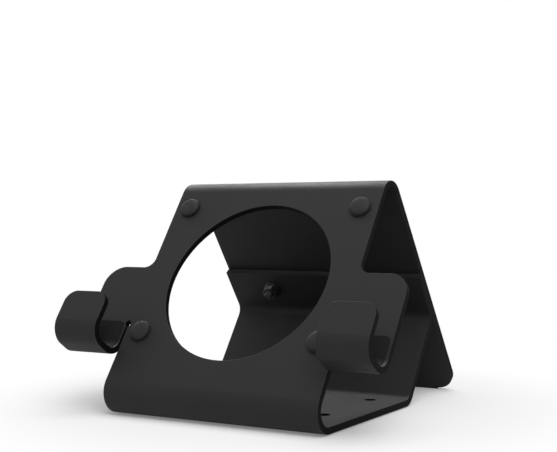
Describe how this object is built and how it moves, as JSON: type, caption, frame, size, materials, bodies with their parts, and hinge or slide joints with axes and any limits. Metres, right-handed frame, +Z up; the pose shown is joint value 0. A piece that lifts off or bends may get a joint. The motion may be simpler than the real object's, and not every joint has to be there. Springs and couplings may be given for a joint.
{
  "type": "tablet stand",
  "caption": "Countertop tablet stand folded from one black metal sheet, with J hooks at the front and a sloping back plate with a round window.",
  "frame": {"origin": "on the table under the middle of the stand: the centre of the bounding box's bottom", "axes": "+X across the stand, along the hooks; +Y from the hooks back to the rear leg; +Z up"},
  "size_m": [0.159, 0.1532, 0.1052],
  "materials": {
    "black_coat": "satin black powder coat",
    "black_steel": "black oxide steel",
    "liner_rubber": "thin matt black foam rubber",
    "pad_rubber": "matt black rubber"
  },
  "bodies": {
    "root": {"base_pad_front_left": "pad_rubber", "base_pad_front_right": "pad_rubber", "base_pad_rear_left": "pad_rubber", "base_pad_rear_right": "pad_rubber", "brace_nut_left": "black_steel", "brace_nut_right": "black_steel", "brace_screw_left": "black_steel", "brace_screw_right": "black_steel", "brace_washer_left": "black_steel", "brace_washer_right": "black_steel", "bumper_high_left": "pad_rubber", "bumper_high_right": "pad_rubber", "bumper_low_left": "pad_rubber", "bumper_low_right": "pad_rubber", "hook_liner_left": "liner_rubber", "hook_liner_right": "liner_rubber", "stand_sheet": "black_coat", "toe_strip": "pad_rubber"}
  },
  "joints": []
}
